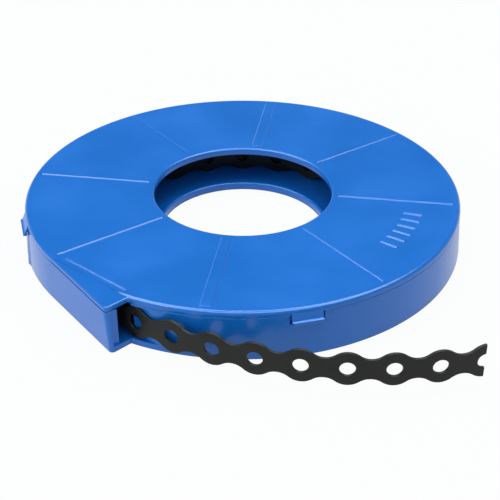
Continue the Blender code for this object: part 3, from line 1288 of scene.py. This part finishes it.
@dataclass(frozen=True)
class Lamp:
    """A soft square lamp that faces the object."""

    name: str
    place: Place
    size: float
    power: float
    colour: Colour = (0.70, 0.95, 1.0)
    mirrored: bool = True

    def build(self) -> None:
        """Adds the lamp."""
        data = bpy.data.lights.new(self.name, "AREA")
        data.shape = "SQUARE"
        data.size = self.size
        data.color = self.colour
        data.energy = self.power
        lamp = bpy.data.objects.new(self.name, data)
        bpy.context.scene.collection.objects.link(lamp)
        lamp.location = self.place
        lamp.visible_glossy = self.mirrored
        lamp.rotation_euler = (-Vector(self.place)).to_track_quat("-Z", "Y").to_euler()


@dataclass(frozen=True)
class Camera:
    """The camera at the photograph's angle."""

    from_axis: Place = (0.00212, -0.35757, 0.21400)
    pitch: float = math.radians(32.030)
    yaw: float = math.radians(0.098)
    roll: float = math.radians(0.171)
    lens: float = 77.81
    sensor: float = 36.0
    clip: Span = (0.01, 20.0)

    def build(self, axis: Vector) -> None:
        """Adds the camera and makes it the scene's.

        Args:
            axis: where the ring's axis meets the floor.
        """
        ahead = Vector(
            (
                math.sin(self.yaw) * math.cos(self.pitch),
                math.cos(self.yaw) * math.cos(self.pitch),
                -math.sin(self.pitch),
            )
        )
        right = ahead.cross(Vector((0.0, 0.0, 1.0))).normalized()
        up = right.cross(ahead)
        across = math.cos(self.roll) * right + math.sin(self.roll) * up
        upright = -math.sin(self.roll) * right + math.cos(self.roll) * up
        data = bpy.data.cameras.new("camera")
        data.lens = self.lens
        data.sensor_width = self.sensor
        data.clip_start, data.clip_end = self.clip
        camera = bpy.data.objects.new("camera", data)
        bpy.context.scene.collection.objects.link(camera)
        turn = Matrix((across, upright, -ahead)).transposed()
        camera.matrix_world = Matrix.Translation(axis + Vector(self.from_axis)) @ turn.to_4x4()
        bpy.context.scene.camera = camera


@dataclass(frozen=True)
class Studio:
    """Pale floor, white horizon, dim upper walls and soft lamps."""

    floor_size: float = 6.0
    floor_colour: Colour = (0.72, 0.72, 0.72)
    floor_glow: float = 0.95
    sky_light: float = 0.58
    sky_colour: Colour = (0.84, 0.97, 1.0)
    horizon_top: float = 0.20
    dim_foot: float = 0.28
    dim_light: float = 0.15
    softbox_foot: Span = (0.68, 0.80)
    softbox_top: Span = (0.955, 0.99)
    softbox_light: float = 7.5
    lamps: tuple[Lamp, ...] = (
        Lamp("overhead_lamp", (0.0, 0.15, 1.30), 1.20, 9.5, mirrored=False),
        Lamp("left_lamp", (-1.10, -0.35, 0.55), 0.60, 4.5),
    )

    def floor(self) -> None:
        """The floor, which stays white to the camera away from the object's shadow."""
        deselect_all()
        bpy.ops.mesh.primitive_plane_add(size=self.floor_size)
        floor = bpy.context.active_object
        floor.name = "studio_floor"
        graph = Graph.of_material("pale_floor")
        paint = graph.node("ShaderNodeBsdfDiffuse", None, {"Color": (*self.floor_colour, 1.0)})
        white = {"Color": (1.0, 1.0, 1.0, 1.0), "Strength": 1.0}
        glow = graph.node("ShaderNodeEmission", None, white)
        share = graph.seen() * self.floor_glow
        mixed = graph.node(
            "ShaderNodeMixShader", None, {0: share, 1: paint.outputs[0], 2: glow.outputs[0]}
        )
        graph.node("ShaderNodeOutputMaterial", None, {0: mixed.outputs[0]})
        floor.data.materials.append(graph.owner)

    def sky(self) -> None:
        """Surroundings for mirrored rays: white horizon, dim walls and a bright ring overhead."""
        world = bpy.data.worlds.new("studio")
        bpy.context.scene.world = world
        graph = Graph(world)
        way = graph.node("ShaderNodeTexCoord").outputs["Object"]
        height = Signal(graph, graph.node("ShaderNodeSeparateXYZ", None, {0: way}).outputs["Z"])
        dim = (1.0 - self.dim_light) * graph.ramp(height, self.horizon_top, self.dim_foot)
        softbox = graph.ramp(height, *self.softbox_foot) - graph.ramp(height, *self.softbox_top)
        bright = 1.0 - dim + self.softbox_light * softbox
        seen = graph.seen()
        strength = self.sky_light * (1.0 - seen) + bright * seen
        shader = graph.node(
            "ShaderNodeBackground", None, {"Color": (*self.sky_colour, 1.0), "Strength": strength}
        )
        graph.node("ShaderNodeOutputWorld", None, {0: shader.outputs[0]})

    def build(self, axis: Vector) -> None:
        """Sets the stage.

        Args:
            axis: where the ring's axis meets the floor.
        """
        self.floor()
        self.sky()
        for lamp in self.lamps:
            lamp.build()
        Camera().build(axis)
        bpy.context.scene.view_settings.view_transform = "Standard"


def main() -> None:
    """Builds the studio, then the box and the strap."""
    logging.basicConfig(level=logging.INFO, format="%(message)s")
    box = Dispenser()
    Studio().build(box.centre)
    blue = MouldedPlastic().material()
    black = StrapCoating().material()
    BoxBase(box).build(blue)
    BoxLid(box).build(blue)
    Strap(box).build(black)


if __name__ == "__main__":
    main()
